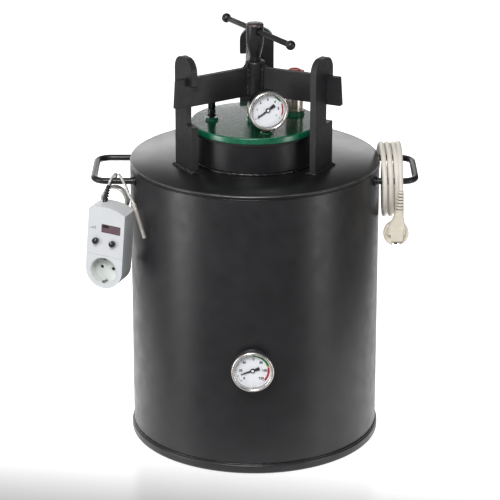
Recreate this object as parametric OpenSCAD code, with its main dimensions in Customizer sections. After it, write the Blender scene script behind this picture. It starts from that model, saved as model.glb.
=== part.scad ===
// Electric screw-clamp pressure canner. Millimetres, +Z up, front is -Y.
// The origin is the centre of the base on the floor.

/* [Vessel] */
// Outside diameter of the vessel
body_d = 390; // [388:1:392]
// Wall thickness of the rolled shell
body_wall = 3; // [2.5:0.5:3]
// Height of the shell's top edge above the floor
shell_top = 448; // [447:1:449]
// Thickness of the flat top plate
top_plate_t = 5; // [4:0.5:6]
// Outside diameter of the neck collar
neck_d = 191; // [190:1:192]
// Wall thickness of the neck collar
neck_wall = 4; // [3:0.5:4]
// Height of the neck's rim above the floor
neck_top = 500; // [499:0.5:500]

/* [Lid] */
// Diameter of the lid plate
lid_d = 200; // [198:1:202]
// Height of the lid plate's underside
lid_z = 503.5; // [503:0.5:504]
// Thickness of the lid plate
lid_t = 10; // [9:0.5:10]

/* [Clamp] */
// Distance from the axis to an upright's inner face
upright_n = 114; // [112:1:116]
// Thickness of an upright
upright_t = 10; // [8:1:10]
// Height of an upright's top
upright_top = 630; // [626:1:634]
// Thickness of a yoke arm
arm_t = 8; // [7:0.5:8]
// Underside of the yoke arms
arm_z = 555; // [552:1:557]
// Top face of the yoke arms
arm_top = 599.9; // [599:0.1:599.9]
// Diameter of the clamp screw's threaded shank
screw_d = 16; // [14:1:16]
// Length of the tommy bar between its ball centres
bar_len = 190; // [180:1:200]

/* [Gauges] */
// Diameter of the lid gauge's bezel
gauge_d = 62; // [60:1:63]
// Diameter of the body thermometer's bezel
thermo_d = 65; // [62:1:66]

/* [Handles] */
// Diameter of the handle rod
rod_d = 10; // [9:0.5:10]
// Half the distance between a handle's two bars
handle_half = 59; // [57:1:60]
// Distance from the axis to a handle's outer bar centre
handle_x = 249; // [246:1:252]

/* [Mains lead] */
// Diameter of the mains lead
lead_d = 8; // [7:0.5:8]

/* [Thermostat] */
// Width of the thermostat's case
th_w = 61; // [59:1:62]
// Depth of the thermostat's case
th_depth = 37; // [35:1:38]
// Diameter of the sensor cable
sensor_d = 4; // [3.6:0.2:4]

/* [Hidden] */
$fn = 96;
fit = 0.05;

body_r = body_d / 2;
neck_r = neck_d / 2;
neck_in = neck_r - neck_wall;
plate_top = shell_top + top_plate_t;
lid_top = lid_z + lid_t;
lid_r = lid_d / 2;

// The base: a rolled ring with the flat bottom plate welded inside it
base_h = 15;
base_r = body_r + 3;
base_in = body_r - 5;
bottom_t = 6;

// Uprights: their places round the axis, and the notch that a yoke arm turns into
UPRIGHT_ANGLES = [210, 330, 90];
up_left = -30;
up_right = 24;
stem_right = 4;
recess_right = 14;
step_z = 525;
lip_z = 588;
recess_z = 600;
up_round = 21;

// Yoke
arm_turn = 4.3;
arm_end_top = 144;
arm_end_bottom = 147;
hub_r = 15;
hub_z = 553;
hub_top = 609;
gusset = 8;
screw_r = screw_d / 2;

// Clamp screw and tommy bar
screw_tip_z = lid_top + 8.6;
screw_neck_z = 609.6;
screw_top = 668;
bar_z = 657;
bar_r = 4.5;
bar_turn = -59;
bar_shift = 9;
ball_r = 7.5;

// Lid fittings
gauge_at = [18, -68];
gauge_z = 551.5;
gauge_turn = -78;
relief_at = [62, 34];
air_at = [-67, 2];
boss_h = 4;
thrust_boss_h = 8;

// Thermometer on the front of the vessel
thermo_at = [-3, -body_r, 181.5];
pressure_rest = 216;
thermo_rest = 199.5;

// Handles
handle_z = 432.5;
handle_bend = 20;
rod_r = rod_d / 2;

// Heater, rack and terminal box
heater_z = 48;
heater_ring_r = 130;
heater_leg = 22;
heater_tube_r = 4.25;
rack_z = 84;
rack_r = 184;
box_w = 90;
box_z = [28, 100];
box_y = 240;
box_wall = 3;
gland_at = [box_w / 2, 219, 56];
well_turn = 62;
well_z = 130;
well_hex_r = 6;

// Mains lead: a winding round the two bars of the right handle
wind_z = 417;
wind_half_y = 73;
wind_half_z = 53;
wind_x = [196, 221];
plug_at = [218, -84, 356];
boot_top = [224, -84, 425];

// Thermostat
th_at = [-230, -110, 346];
th_yaw = -21;
th_roll = -4.5;
th_split = -10;
th_shell = 2.2;
socket_y = -43.5;
relief_from = [-230, -80, 408.5];
relief_to = [-225, -70, 429];
coil_at = [-216.5, -44, 398];
coil_mid_r = 20;
coil_len = 18.8;
probe_top = [-185.5, -92, 407];
probe_tip = [-168.5, -109.5, 356];

// ---- curves and sweeps ----
function arc_points(centre, r, from, to, steps) =
    [for (i = [0:steps]) let (a = from + (to - from) * i / steps) centre + r * [cos(a), sin(a)]];
function unit(v) = v / norm(v);
function curve_at(a, b, c, d, t) =
    0.5 * (2 * b + (c - a) * t + (2 * a - 5 * b + 4 * c - d) * t * t
    + (3 * b - a - 3 * c + d) * t * t * t);
function smooth(p, steps) = [
    for (i = [0:len(p) - 2], k = [0:steps - 1])
        curve_at(p[max(i - 1, 0)], p[i], p[i + 1], p[min(i + 2, len(p) - 1)], k / steps),
    p[len(p) - 1]
];
function heading(p, i) = unit(p[min(i + 1, len(p) - 1)] - p[max(i - 1, 0)]);
function square_to(v, t) = unit(v - (v * t) * t);
function normals(p, v0) = [
    for (i = 0, v = square_to(v0, heading(p, 0)); i < len(p);
        i = i + 1, v = square_to(v, heading(p, min(i, len(p) - 1)))) v
];

// A closed tube along a path, with flat ends
module tube_along(p, r, sides, v0) {
    n = normals(p, v0);
    last = len(p) - 1;
    rings = [for (i = [0:last], k = [0:sides - 1])
        let (a = 360 * k / sides, b = cross(heading(p, i), n[i]))
        p[i] + r * (cos(a) * n[i] + sin(a) * b)];
    sides_faces = [for (i = [0:last - 1], k = [0:sides - 1])
        let (m = (k + 1) % sides)
        [i * sides + k, (i + 1) * sides + k, (i + 1) * sides + m, i * sides + m]];
    start = [for (k = [0:sides - 1]) k];
    end = [for (k = [sides - 1:-1:0]) last * sides + k];
    polyhedron(points = rings, faces = concat(sides_faces, [start, end]), convexity = 8);
}

// ---- shared frames ----
module at_upright(a) { rotate([0, 0, a]) translate([upright_n, 0, 0]) children(); }
module facing(p, turn) { translate(p) rotate([0, 0, turn]) rotate([0, 90, 0]) children(); }
module at_gauge() { facing([gauge_at.x, gauge_at.y, gauge_z], gauge_turn) children(); }
module at_thermometer() { facing(thermo_at, -90) children(); }
module at_thermostat() {
    translate(th_at) rotate([0, 0, th_yaw]) rotate([90, 0, 0]) rotate([0, 0, th_roll]) children();
}
module disc(r, z0, z1) { translate([0, 0, z0]) cylinder(r = r, h = z1 - z0); }
module ring(r_out, r_in, z0, z1) {
    difference() {
        disc(r_out, z0, z1);
        disc(r_in, z0 - 1, z1 + 1);
    }
}

// ---- vessel ----
module bottom_plate() color("#2b2b2e") disc(base_in, 0, bottom_t);

module base_ring() color("#2b2b2e") rotate_extrude() polygon(concat(
    [[base_in, 0]],
    arc_points([base_r - 4, 4], 4, -90, 0, 8),
    arc_points([base_r - 4, base_h - 4], 4, 0, 90, 8),
    [[base_in, base_h]]
));

module body_shell() color("#2b2b2e") difference() {
    ring(body_r, body_r - body_wall, base_h, shell_top);
    for (s = [-1, 1]) translate([s * heater_leg, body_r + 10, heater_z])
        rotate([90, 0, 0]) cylinder(r = heater_tube_r + 0.25, h = 40);
    facing([0, 0, thermo_at.z], -90) translate([0, thermo_at.x, body_r - 20])
        cylinder(r = 6.2, h = 40);
    facing([0, 0, well_z], well_turn) translate([0, 0, body_r - 20])
        cylinder(r = well_hex_r, h = 40, $fn = 6);
}

module top_plate() color("#303033") ring(body_r, neck_r, shell_top, plate_top);

module neck_collar() color("#2b2b2e") ring(neck_r, neck_in, shell_top, neck_top);

module weld_beads() color("#242427") {
    rotate_extrude() polygon(concat(
        [[neck_r, plate_top]],
        arc_points([neck_r, plate_top], 5, 0, 90, 8)
    ));
    for (a = UPRIGHT_ANGLES) at_upright(a) translate([0, 0, plate_top]) difference() {
        translate([-4, up_left - 4, 0]) cube([upright_t + 8, up_right - up_left + 8, 3.5]);
        translate([0, up_left, -1]) cube([upright_t, up_right - up_left, 6]);
    }
}

// ---- uprights: an arched plate with a notch and a lip on one side ----
module upright(a) color("#29292c") at_upright(a) rotate([90, 0, 90]) linear_extrude(upright_t)
    polygon(concat(
        [[up_left, plate_top], [up_right, plate_top], [up_right, step_z], [stem_right, step_z],
         [stem_right, recess_z], [recess_right, recess_z], [recess_right, lip_z + 3],
         [recess_right + 2, lip_z], [up_right, lip_z]],
        arc_points([up_right - up_round, upright_top - up_round], up_round, 0, 90, 12),
        arc_points([up_left + up_round, upright_top - up_round], up_round, 90, 180, 12)
    ));
module upright_left() upright(UPRIGHT_ANGLES[0]);
module upright_right() upright(UPRIGHT_ANGLES[1]);
module upright_back() upright(UPRIGHT_ANGLES[2]);

// ---- handles: a U of round rod welded to the shell ----
module handle() color("#1d1d1f") difference() {
    translate([0, 0, handle_z]) {
        for (s = [-1, 1]) translate([body_r - 20, s * handle_half, 0]) rotate([0, 90, 0])
            cylinder(r = rod_r, h = handle_x - handle_bend - body_r + 20);
        translate([handle_x, handle_bend - handle_half, 0]) rotate([-90, 0, 0])
            cylinder(r = rod_r, h = 2 * (handle_half - handle_bend));
        for (s = [0, 1]) mirror([0, s, 0])
            translate([handle_x - handle_bend, handle_half - handle_bend, 0])
            rotate_extrude(angle = 90) translate([handle_bend, 0]) circle(r = rod_r);
    }
    disc(body_r, handle_z - 20, handle_z + 20);
}
module handle_right() handle();
module handle_left() mirror([1, 0, 0]) handle();

// ---- dial instruments: each is built along +Z, its face at the top ----
module dial_case(r, z0, z1) difference() {
    disc(r - 2.5, z0, z1);
    disc(r - 4, z0 + 2, z1 + 1);
}
module dial_bezel(r, z) rotate_extrude() polygon([
    [r - 2.5, z - 3], [r, z - 3], [r, z + 3.5], [r - 1.5, z + 5], [r - 4, z + 5],
    [r - 5, z + 3.5], [r - 5, z + 2], [r - 2.5, z + 2]
]);
module dial_face(r, z) ring(r - 4.2, 1.3, z - 5, z - 4);
module dial_glass(r, z) disc(r - 2.6, z, z + 1.9);
module needle(tip, tail, z, turn) rotate([0, 0, turn]) {
    disc(1.2, z - 7, z - 1);
    translate([0, 0, z - 3]) linear_extrude(0.8) {
        circle(r = 3);
        polygon([[-0.9, 0], [0.9, 0], [0.3, tip], [-0.3, tip]]);
        polygon([[-0.8, 0], [0.8, 0], [1.8, -3], [1.8, -tail], [-1.8, -tail], [-1.8, -3]]);
    }
}

thermo_face = 24;
module thermometer_stem() color("#8d8d90") at_thermometer() {
    disc(4, -60, 8);
    difference() {
        disc(6, -8, 8);
        disc(4, -9, 9);
    }
    difference() {
        disc(11, -4, 8);
        disc(6, -9, 9);
        facing_shell();
    }
}
// The vessel's own cylinder, seen from the thermometer's frame
module facing_shell() rotate([0, -90, 0]) rotate([0, 0, 90])
    translate([-thermo_at.x, -thermo_at.y, -60]) cylinder(r = body_r, h = 120);
module thermometer_case() color("#9a9a9c") at_thermometer()
    dial_case(thermo_d / 2, 8, thermo_face);
module thermometer_bezel() color("#c9c4bd") at_thermometer()
    dial_bezel(thermo_d / 2, thermo_face);
module thermometer_dial() color("#eef1f6") at_thermometer()
    dial_face(thermo_d / 2, thermo_face);
module thermometer_glass() color("#dfe8ee", 0.3) at_thermometer()
    dial_glass(thermo_d / 2, thermo_face);
module thermometer_needle() color("#111111") at_thermometer()
    needle(19, 11, thermo_face, thermo_rest);

// ---- heater, rack and terminal box ----
module heater_element() color("#8c8c88") {
    leg = [for (y = [216, 190, 165, 150, 139]) [heater_leg, y]];
    bend = [[heater_leg + 3.5, 131.5], [heater_leg + 10, 127]];
    half = concat(leg, bend, [for (a = [72:-9:-81]) heater_ring_r * [cos(a), sin(a)]]);
    last = len(half) - 1;
    route = concat(half, [[0, -heater_ring_r]], [for (i = [last:-1:0]) [-half[i].x, half[i].y]]);
    translate([0, 0, heater_z])
        tube_along([for (p = route) [p.x, p.y, 0]], heater_tube_r, 10, [0, 0, 1]);
}
module heater_flange() color("#7d7d80") difference() {
    translate([0, 206, heater_z]) rotate([90, 0, 0]) linear_extrude(20)
        square([74, 34], center = true);
    for (s = [-1, 1]) translate([s * heater_leg, 230, heater_z]) rotate([90, 0, 0])
        cylinder(r = heater_tube_r, h = 60);
    disc(body_r, 0, 100);
}
module terminal_box() color("#1c1c1e") difference() {
    translate([-box_w / 2, 180, box_z[0]]) cube([box_w, box_y - 180, box_z[1] - box_z[0]]);
    translate([-box_w / 2 + box_wall, 170, box_z[0] + box_wall])
        cube([box_w - 2 * box_wall, box_y - 170 - box_wall, box_z[1] - box_z[0] - 2 * box_wall]);
    disc(body_r, 0, 200);
    translate(gland_at - [10, 0, 0]) rotate([0, 90, 0]) cylinder(r = 7, h = 20);
}
module terminal_box_screws() color("#a5a5a8")
    for (x = [-1, 1], z = [box_z[0] + 9, box_z[1] - 9]) translate([x * 36, box_y, z])
        rotate([-90, 0, 0]) difference() {
            cylinder(r = 3.5, h = 2.2);
            translate([-0.5, -5, 1.2]) cube([1, 10, 2]);
        }
module cable_gland() color("#222224") translate(gland_at) rotate([0, 90, 0]) difference() {
    union() {
        disc(7, -box_wall, 0);
        linear_extrude(6) circle(r = 11, $fn = 6);
        disc(9, 6, 14);
        translate([0, 0, 14]) cylinder(r1 = 9, r2 = 6, h = 6);
    }
    disc(lead_d / 2, -5, 25);
}
module jar_rack() color("#8f8f8c") {
    difference() {
        disc(rack_r, rack_z, rack_z + 2.5);
        for (k = [1:3], i = [0:6 * k - 1]) rotate([0, 0, i * 60 / k]) translate([50 * k, 0, 0])
            disc(9, rack_z - 1, rack_z + 4);
    }
    for (i = [0:3]) rotate([0, 0, 45 + 90 * i]) translate([165, 0, 0])
        disc(6, bottom_t, rack_z);
}
module sensor_well() color("#2b2b2e") facing([0, 0, well_z], well_turn) difference() {
    translate([0, 0, body_r - 70]) cylinder(r = well_hex_r, h = 84, $fn = 6);
    disc(3.3, body_r - 67, body_r + 20);
}

// ---- mains lead ----
LEAD_ROUTE = [
    [65, 219, 56], [80, 219, 53], [96, 215, 42], [110, 208, 26], [124, 199, 12],
    [140, 187, 5.2], [157, 171, 4.4], [172, 152, 4.4], [183, 132, 7], [188, 114, 16],
    [189, 100, 34], [188, 91, 62], [188, 87, 100], [188, 86, 145], [188, 86, 190],
    [188, 86, 235], [188, 86, 280], [188, 85, 320], [190, 82, 355], [193, 78, 388],
    [196, 74, 415]
];
TAIL_ROUTE = [
    [225, 72, 424], [225, 66, 441], [225, 53, 455], [225, 34, 465], [225, 12, 469.5],
    [225, -12, 469.5], [225, -34, 465.5], [224.5, -54, 457], [224, -70, 445],
    [224, -80, 433], [224, -84, 425]
];
module power_cord() color("#d9d3c8") {
    tube_along(smooth(LEAD_ROUTE, 2), lead_d / 2, 10, [0, 0, 1]);
    tube_along(TAIL_ROUTE, lead_d / 2, 10, [1, 0, 0]);
}
module wind_outline(extra) polygon([for (a = [0:7.5:359])
    [(wind_half_y + extra) * cos(a), (wind_half_z + extra) * sin(a)]]);
module cord_coil() color("#d9d3c8") translate([wind_x[0], 0, wind_z]) rotate([90, 0, 90])
    linear_extrude(wind_x[1] - wind_x[0]) difference() {
        wind_outline(lead_d / 2);
        wind_outline(-lead_d / 2);
    }
module plug_boot() color("#d9d3c8") {
    foot = plug_at + [4, 0, 32];
    run = boot_top - foot;
    tilt = atan2(run.x, run.z);
    translate(foot) rotate([0, tilt, 0]) rotate_extrude() polygon(concat(
        [[0, 0], [7.5, 0]],
        [for (i = [0:5], e = [[0, 0], [0, 2.6], [-1.2, 2.8], [-1.2, 4.6]])
            [7.4 - 0.34 * i + e.x, 4 + 5 * i + e.y]],
        [[4.6, 34.5], [4.6, norm(run)], [0, norm(run)]]
    ));
}
module plug_body() color("#e0dacf") translate(plug_at) {
    difference() {
        rotate([90, 0, 0]) rotate_extrude() polygon(concat(
            [[0, -10], [19, -10]],
            arc_points([17, 0], 3, 0, 90, 6),
            [[0, 3]]
        ));
        for (z = [-1, 1]) translate([-2.5, -4, z * 20 - 3]) cube([5, 20, 6]);
    }
    translate([0, -3, 0]) rotate([0, 7, 0]) linear_extrude(32.4, scale = 0.62)
        translate([0, -3]) square([22, 13], center = true);
    translate([-9, -11, -12]) cube([17, 9, 19]);
}
module plug_pins() color("#c8c8c8") translate(plug_at) for (s = [-1, 1])
    translate([s * 9.5, 10, 0]) rotate([-90, 0, 0]) {
        cylinder(r = 2.4, h = 17);
        translate([0, 0, 17]) cylinder(r1 = 2.4, r2 = 1.4, h = 2);
    }

// ---- lid ----
module lid_plate() color("#0b7a4b") difference() {
    rotate_extrude() polygon([[0, lid_z], [lid_r - 1, lid_z], [lid_r, lid_z + 1],
        [lid_r, lid_top - 1], [lid_r - 1, lid_top], [0, lid_top]]);
    translate(gauge_at) disc(6.5, lid_z - 1, lid_top + 1);
    translate(relief_at) disc(8, lid_z - 1, lid_top + 1);
    translate(air_at) disc(4.25, lid_z - 1, lid_top + 1);
}
module lid_spigot() color("#0b7a4b") ring(88, 84, lid_z - 18, lid_z);
module lid_gasket() color("#26211f") ring(lid_r - 2, 88, neck_top + 0.1, lid_z);
module lid_bosses() color("#0b7a4b") {
    disc(12, lid_top, lid_top + thrust_boss_h);
    translate(gauge_at) ring(10, 6.5, lid_top, lid_top + boss_h);
    translate(relief_at) ring(15.5, 8, lid_top, lid_top + boss_h + 1);
    translate(air_at) ring(10, 4.25, lid_top, lid_top + boss_h);
}
module gauge_stem() color("#b08d4c") translate(gauge_at) difference() {
    disc(6.5, lid_z, gauge_z - 27.3);
    disc(2, lid_z - 1, gauge_z - 34);
    translate(-gauge_at) at_gauge() disc(gauge_d / 2 - 2.5, -14, 12);
}
module gauge_case() color("#161618") at_gauge() dial_case(gauge_d / 2, -14, 12);
module gauge_bezel() color("#b9b0a6") at_gauge() dial_bezel(gauge_d / 2, 12);
module gauge_dial() color("#eef1f6") at_gauge() dial_face(gauge_d / 2, 12);
module gauge_glass() color("#dfe8ee", 0.3) at_gauge() dial_glass(gauge_d / 2, 12);
module gauge_needle() color("#111111") at_gauge() needle(20, 13, 12, pressure_rest);

relief_boss_top = lid_top + boss_h + 1;
module relief_valve_body() color("#a59a8c") translate(relief_at) {
    disc(8, lid_z, relief_boss_top);
    rotate_extrude() polygon([[0, relief_boss_top], [13.5, relief_boss_top], [13.5, 560],
        [12.5, 561.5], [6, 561.5], [6, 567.5], [0, 567.5]]);
}
module relief_valve_knob() color("#b5121b") translate(relief_at) {
    difference() {
        disc(15, 567.7, 582);
        for (i = [0:5]) rotate([0, 0, 60 * i]) translate([17.5, 0, 0]) disc(5, 560, 590);
    }
    for (i = [0:5]) rotate([0, 0, 60 * i + 30]) translate([14, 0, 0]) disc(3, 567.7, 582);
    disc(9.5, 582, 586);
}
module air_valve_stem() color("#16201b") translate(air_at) {
    disc(4.25, lid_z, lid_top + 13);
    disc(7, lid_top + 6, lid_top + 9);
}
module air_valve_cap() color("#141a17") translate(air_at) difference() {
    rotate_extrude() polygon([[0, lid_top + 10], [5.9, lid_top + 10], [5.9, 552], [4.9, 554],
        [0, 554]]);
    disc(4.3, lid_top + 9, lid_top + 13.3);
}

// ---- yoke, clamp screw and tommy bar ----
module yoke_hub() color("#232326") difference() {
    rotate_extrude() polygon([[0, hub_z], [hub_r - 1, hub_z], [hub_r, hub_z + 1],
        [hub_r, hub_top - 1], [hub_r - 1, hub_top], [0, hub_top]]);
    disc(screw_r + fit, hub_z - 1, hub_top + 1);
}
module yoke_arms() color("#29292c") for (a = UPRIGHT_ANGLES) rotate([0, 0, a + arm_turn])
    difference() {
        translate([0, arm_t / 2, 0]) rotate([90, 0, 0]) linear_extrude(arm_t) polygon(concat(
            [[hub_r - 3, arm_z], [arm_end_bottom - 1, arm_z], [arm_end_bottom, arm_z + 1],
             [arm_end_top, arm_top - 1], [arm_end_top - 1, arm_top]],
            arc_points([hub_r + gusset, arm_top + gusset], gusset, -90, -180, 8),
            [[hub_r - 3, arm_top + gusset]]
        ));
        disc(hub_r, hub_z - 5, hub_top + 5);
    }
module clamp_screw() color("#252528") difference() {
    rotate_extrude() polygon([
        [0, screw_tip_z], [5, screw_tip_z], [screw_r, screw_tip_z + 3],
        [screw_r, screw_neck_z], [8.7, screw_neck_z], [8.7, 611.2], [8.1, 611.8],
        [8.1, 612.6], [8.9, 613.2], [8.9, 614.4], [8.3, 615], [9, 617], [11, 624],
        [12.8, 632], [13.5, 640], [13.5, 666.5], [12.3, 667.8], [0, screw_top]
    ]);
    rotate([0, 0, bar_turn]) translate([0, 0, bar_z]) rotate([0, 90, 0])
        cylinder(r = bar_r + fit, h = 60, center = true);
}
module tommy_bar() color("#1e1e20") rotate([0, 0, bar_turn]) translate([bar_shift, 0, bar_z])
    rotate([0, 90, 0]) {
        cylinder(r = bar_r, h = bar_len, center = true);
        for (s = [-1, 1]) translate([0, 0, s * bar_len / 2]) sphere(r = ball_r);
    }

// ---- thermostat: a plug-in case with an arched top and a round bottom ----
th_low = -72;
th_high = 61;
module case_outline(inset) {
    r = th_w / 2 - inset;
    translate([0, th_low + th_w / 2]) circle(r = r);
    intersection() {
        translate([-r, th_low + th_w / 2]) square([2 * r, 120]);
        translate([-3, th_high - 66]) circle(r = 66 - inset);
    }
}
module case_slab(inset, z0, z1) translate([0, 0, z0]) linear_extrude(z1 - z0)
    case_outline(inset);
module thermostat_front_cover() color("#e6e7e9") at_thermostat() difference() {
    case_slab(0, th_split, 0);
    case_slab(th_shell, th_split - 1, -2.5);
    translate([0, socket_y]) disc(23, -20, 1);
    translate([-7, 20, -1]) cube([31, 13, 2]);
    for (x = [-15, 13]) translate([x, 5, 0]) disc(2.6, -5, 1);
}
module thermostat_rear_shell() color("#cfd0d3") at_thermostat() {
    difference() {
        union() {
            case_slab(0, -th_depth, th_split);
            translate([0, socket_y]) disc(18, -th_depth - 14, -th_depth + 1);
        }
        case_slab(th_shell, -th_depth + 2.5, th_split + 1);
        for (s = [-1, 1]) translate([s * 9.5, socket_y]) disc(2.4, -th_depth - 20, -20);
    }
}
module thermostat_socket() color("#dfe3e0") at_thermostat() translate([0, socket_y]) {
    difference() {
        disc(23, -19, 0);
        disc(21, -16, 1);
        for (s = [-1, 1]) translate([s * 9.5, 0]) disc(2.6, -20, -10);
    }
    color("#8a8a86") for (s = [-1, 1]) scale([1, s, 1]) translate([-2, 16.5, -16])
        cube([4, 3, 14]);
}
module thermostat_display() color("#5a4650") at_thermostat()
    translate([-7, 20, -1]) cube([31, 13, 1.2]);
module thermostat_circuit_board() color("#1f5a34") at_thermostat() {
    translate([-24, -12, -22]) cube([48, 58, 1.6]);
    translate([-20, -8, -20.4]) cube([16, 20, 9]);
    translate([2, 18, -33]) cube([20, 20, 11]);
}
module thermostat_plug_pins() color("#c8c8c8") at_thermostat() for (s = [-1, 1])
    translate([s * 9.5, socket_y]) rotate([180, 0, 0]) {
        disc(2.4, 26, th_depth + 31);
        translate([0, 0, th_depth + 31]) cylinder(r1 = 2.4, r2 = 1.4, h = 2);
    }
module thermostat_knob(x) color("#19191b") at_thermostat() translate([x, 5, 0]) {
    disc(2.5, -6, 0.3);
    difference() {
        disc(4.8, 0.3, 6);
        translate([-0.5, 0, 5]) cube([1, 6, 2]);
    }
}
module thermostat_knob_left() thermostat_knob(-15);
module thermostat_knob_right() thermostat_knob(13);
module thermostat_strain_relief() color("#1a1a1a") {
    run = relief_to - relief_from;
    turn = atan2(run.y, run.x);
    tilt = acos(run.z / norm(run));
    difference() {
        translate(relief_from) rotate([0, 0, turn]) rotate([0, tilt, 0]) rotate_extrude()
            polygon(concat(
                [[0, -4], [3.6, -4]],
                [for (i = [0:4], e = [[0, 0], [0, 2.6], [-0.9, 3], [-0.9, 4.3]])
                    [4.3 - 0.2 * i + e.x, 1 + 4.4 * i + e.y]],
                [[2.6, norm(run)], [0, norm(run)]]
            ));
        at_thermostat() case_slab(0, -th_depth, 0);
    }
}

// ---- sensor cable: strain relief, over the bar, a small coil, back over, down to the probe ----
SENSOR_OUT = [
    [-225, -70, 429], [-222.5, -67, 435.5], [-219, -62.5, 440.5], [-216, -57, 443],
    [-214, -51.5, 441.5], [-214.5, -46.8, 436], [-218.5, -44, 429], [-225, -43.2, 420.5],
    [-232, -43.4, 411.5], [-237.2, -44, 403.2]
];
SENSOR_BACK = [
    [-195.5, -44.2, 401.5], [-197, -44, 409.5], [-199.5, -44.2, 418], [-203, -45.3, 426.5],
    [-206.5, -48.2, 434.5], [-209, -53, 440.8], [-209, -59, 443], [-206.5, -65, 441.5],
    [-203, -70.5, 436.5], [-199, -76, 429.5], [-194.8, -81.5, 421], [-190.2, -86.8, 413.8],
    probe_top
];
module sensor_cable() color("#a9a49c") {
    tube_along(SENSOR_OUT, sensor_d / 2, 8, [1, 0, 0]);
    tube_along(SENSOR_BACK, sensor_d / 2, 8, [1, 0, 0]);
}
module sensor_coil() color("#a9a49c") facing(coil_at, -90 + th_yaw)
    ring(coil_mid_r + sensor_d / 2, coil_mid_r - sensor_d / 2, -coil_len / 2, coil_len / 2);
module sensor_probe() color("#b5a99a") {
    run = probe_tip - probe_top;
    translate(probe_top) rotate([0, 0, atan2(run.y, run.x)])
        rotate([0, acos(run.z / norm(run)), 0]) {
            disc(3.8, 0, 6);
            disc(3, 6, norm(run));
        }
}

bottom_plate();
base_ring();
body_shell();
top_plate();
neck_collar();
weld_beads();
upright_left();
upright_right();
upright_back();
handle_left();
handle_right();
thermometer_stem();
thermometer_case();
thermometer_bezel();
thermometer_dial();
thermometer_glass();
thermometer_needle();
heater_element();
heater_flange();
terminal_box();
terminal_box_screws();
cable_gland();
jar_rack();
sensor_well();
power_cord();
cord_coil();
plug_boot();
plug_body();
plug_pins();
lid_plate();
lid_spigot();
lid_gasket();
lid_bosses();
gauge_stem();
gauge_case();
gauge_bezel();
gauge_dial();
gauge_glass();
gauge_needle();
relief_valve_body();
relief_valve_knob();
air_valve_stem();
air_valve_cap();
yoke_hub();
yoke_arms();
clamp_screw();
tommy_bar();
thermostat_front_cover();
thermostat_rear_shell();
thermostat_socket();
thermostat_display();
thermostat_circuit_board();
thermostat_plug_pins();
thermostat_strain_relief();
thermostat_knob_left();
thermostat_knob_right();
sensor_cable();
sensor_coil();
sensor_probe();
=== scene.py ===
"""The looks of an electric screw-clamp pressure canner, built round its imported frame."""
from math import atan2, copysign, cos, degrees, hypot, pi, radians, sin, sqrt, tau

import bmesh
import bpy
from mathutils import Matrix, Vector, noise


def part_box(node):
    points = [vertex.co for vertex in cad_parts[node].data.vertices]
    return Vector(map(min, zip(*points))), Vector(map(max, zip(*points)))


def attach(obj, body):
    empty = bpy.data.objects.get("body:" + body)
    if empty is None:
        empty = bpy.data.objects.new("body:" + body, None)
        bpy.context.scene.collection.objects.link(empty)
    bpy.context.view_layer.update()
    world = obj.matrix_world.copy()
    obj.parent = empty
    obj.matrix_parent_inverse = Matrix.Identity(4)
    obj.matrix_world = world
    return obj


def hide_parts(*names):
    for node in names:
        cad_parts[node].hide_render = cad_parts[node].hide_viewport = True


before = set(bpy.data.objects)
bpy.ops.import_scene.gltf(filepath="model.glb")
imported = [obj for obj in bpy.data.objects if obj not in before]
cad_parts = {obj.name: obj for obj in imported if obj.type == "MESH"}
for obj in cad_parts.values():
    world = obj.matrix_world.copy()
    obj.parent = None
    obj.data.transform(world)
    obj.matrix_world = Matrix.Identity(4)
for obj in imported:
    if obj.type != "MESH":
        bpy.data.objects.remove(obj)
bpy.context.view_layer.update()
MM = 0.001


def mm(*values):
    """A point given in millimetres, in metres."""
    return Vector(values) * MM


def moved(x, y, z):
    return Matrix.Translation((x, y, z))


def turned(angle, axis="Z"):
    return Matrix.Rotation(radians(angle), 4, axis)


def scaled(points, x=0, y=0):
    """Points given in millimetres from (x, y), in metres."""
    return [(x + u * MM, y + v * MM) for u, v in points]


def size(node):
    low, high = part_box(node)
    return high - low


def middle(node):
    low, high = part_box(node)
    return (low + high) / 2


# ---- driving dimensions, read from the frame (metres) ----
BODY_R = size("body_shell").x / 2
TOP_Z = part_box("top_plate")[1].z
NECK_R = size("neck_collar").x / 2
LID_R = size("lid_plate").x / 2
LID_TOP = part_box("lid_plate")[1].z
HUB_R = size("yoke_hub").x / 2
HUB_LOW, HUB_HIGH = (corner.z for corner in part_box("yoke_hub"))
SCREW_LOW, SCREW_HIGH = (corner.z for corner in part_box("clamp_screw"))
ARM_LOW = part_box("yoke_arms")[0].z
UPRIGHT_ANGLES = (210, 330, 90)
UPRIGHT_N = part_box("upright_back")[0].y
UPRIGHT_T = size("upright_back").y
UPRIGHT_W = size("upright_back").x
UPRIGHT_X = (-UPRIGHT_W / 2 - 3 * MM, UPRIGHT_W / 2 - 3 * MM)
ARM_TURN = 4.3
HANDLE_Z = middle("handle_right").z
HANDLE_R = size("handle_right").z / 2
HANDLE_BAR_Y = size("handle_right").y / 2 - HANDLE_R
LEAD_R = 4 * MM
SENSOR_R = 2 * MM

# ---- places the fittings share: the tommy bar's, then the thermostat's in its own millimetres ----
BAR_TURN, BAR_Z = -59, 657 * MM
KNOBS = (("left", -15, 70), ("right", 13, 110))
KNOB_Y, PIN_REACH = 5, 9.5

# ---- studio ----
CAMERA_DOWN = 20.04
SKY_TOWARDS, SKY_STRENGTH = Vector((-0.62, -0.15, 0.77)), 0.5
FLOOR_HALF, FLOOR_Z, FLOOR_GLOW = 9, -0.0006, 1.25


# ---- camera and lights ----
def make_camera():
    data = bpy.data.cameras.new("camera")
    data.lens = 172.33
    data.sensor_width = 36
    data.clip_end = 60
    camera = add_object("camera", data)
    camera.location = (0, -3.5646, 1.598)
    camera.rotation_euler = (radians(90 - CAMERA_DOWN), 0, 0.0021)
    bpy.context.scene.camera = camera


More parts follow.
